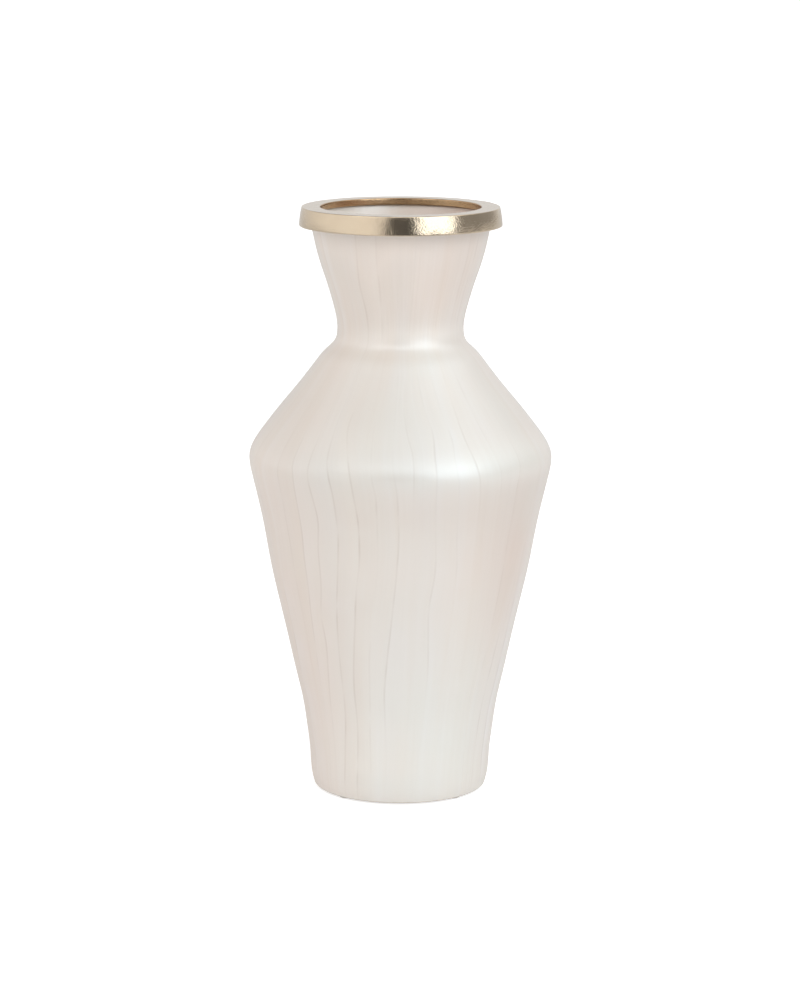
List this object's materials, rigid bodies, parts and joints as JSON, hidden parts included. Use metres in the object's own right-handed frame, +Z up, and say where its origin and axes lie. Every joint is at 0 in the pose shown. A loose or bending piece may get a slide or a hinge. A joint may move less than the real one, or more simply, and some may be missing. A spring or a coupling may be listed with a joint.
{
  "type": "porcelain vase",
  "caption": "Tall porcelain vase with a flared round body, rounded shoulder, tight trumpet neck and a cast metal rim collar over its lip.",
  "frame": {"origin": "centre of the resting plane, on the vase's own axis, at the underside of the pads", "axes": "+Z up along the axis of revolution; the body is round, so +X and +Y are equal, and the pads stand between them"},
  "size_m": [0.2092, 0.2092, 0.4072],
  "materials": {
    "porcelain": "pearl lustre glaze, satin",
    "collar_metal": "cast, fine sand texture, pale champagne tone",
    "adhesive": "cured epoxy, dull",
    "felt": "short-napped felt"
  },
  "bodies": {
    "root": {"vase_body": "porcelain", "rim_collar": "collar_metal", "rim_adhesive": "adhesive", "foot_pads": "felt"}
  },
  "joints": []
}
